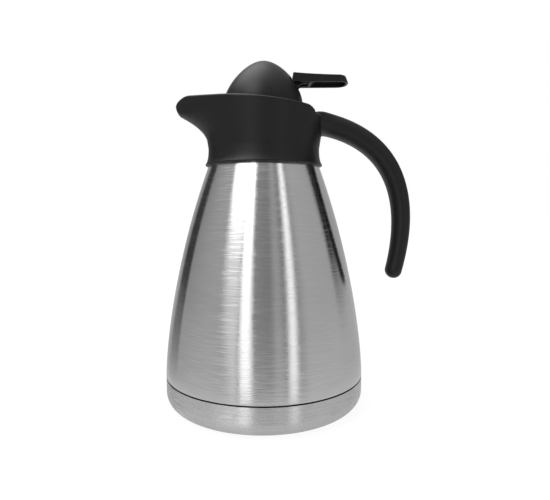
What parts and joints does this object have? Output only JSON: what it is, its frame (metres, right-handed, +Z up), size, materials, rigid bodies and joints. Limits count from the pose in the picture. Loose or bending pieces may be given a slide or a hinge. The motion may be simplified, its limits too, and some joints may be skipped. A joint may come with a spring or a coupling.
{
  "type": "insulated pouring jug",
  "caption": "Vacuum-insulated steel jug with a moulded pouring collar, hook handle and a screw-in domed stopper whose thumb lever lifts a sprung pouring valve.",
  "frame": {"origin": "centre of the flat foot under the base, on the surface the jug stands on", "axes": "+Z up along the body's axis, +X towards the handle, -X towards the spout, -Y the side that faces the camera in the picture"},
  "size_m": [0.1772, 0.142, 0.2451],
  "materials": {
    "brushed_steel": "brushed round the body",
    "inner_steel": "plain drawn steel",
    "black_plastic": "satin moulded",
    "foot_rubber": "matt",
    "silicone": "soft matt",
    "fastener_steel": "bright"
  },
  "bodies": {
    "vessel": {"foot_pad": "foot_rubber", "base_cup": "brushed_steel", "vessel_bottom": "inner_steel", "sealing_button": "inner_steel", "outer_shell": "brushed_steel", "inner_flask": "inner_steel", "neck_gasket": "silicone", "collar": "black_plastic", "neck_sleeve": "black_plastic", "handle": "black_plastic", "handle_screws": "fastener_steel"},
    "seal": {"seal_ring": "silicone"},
    "stopper": {"stopper_body": "black_plastic", "stem_guide": "black_plastic", "dome_cap": "black_plastic", "lever_pin": "fastener_steel", "valve_spring": "fastener_steel"},
    "thumb_lever": {"lever": "black_plastic"},
    "valve": {"valve_disc": "black_plastic", "valve_seal": "silicone", "valve_stem": "fastener_steel", "stem_button": "black_plastic"}
  },
  "joints": [
    {"name": "stopper_rise", "type": "slide", "parent": "vessel", "child": "seal", "axis": [0, 0, 1], "range_m": [0, 0.0061]},
    {"name": "stopper_turn", "type": "hinge", "parent": "seal", "child": "stopper", "pos_m": [0, 0, 0.2069], "axis": [0, 0, 1], "range_deg": [0, 360]},
    {"name": "lever_press", "type": "hinge", "parent": "stopper", "child": "thumb_lever", "pos_m": [0.0134, 0, 0.2269], "axis": [0, 1, 0], "range_deg": [0, 16], "stiffness_Nm_per_rad": 0.1, "springref_deg": -11.46},
    {"name": "valve_lift", "type": "slide", "parent": "stopper", "child": "valve", "axis": [0, 0, 1], "range_m": [0, 0.0038], "deforming": ["valve_spring"]}
  ],
  "couplings": [
    {"joint": "stopper_rise", "follows": "stopper_turn", "m_per_rad": 0.00095493},
    {"joint": "lever_press", "follows": "valve_lift", "rad_per_m": 73}
  ]
}
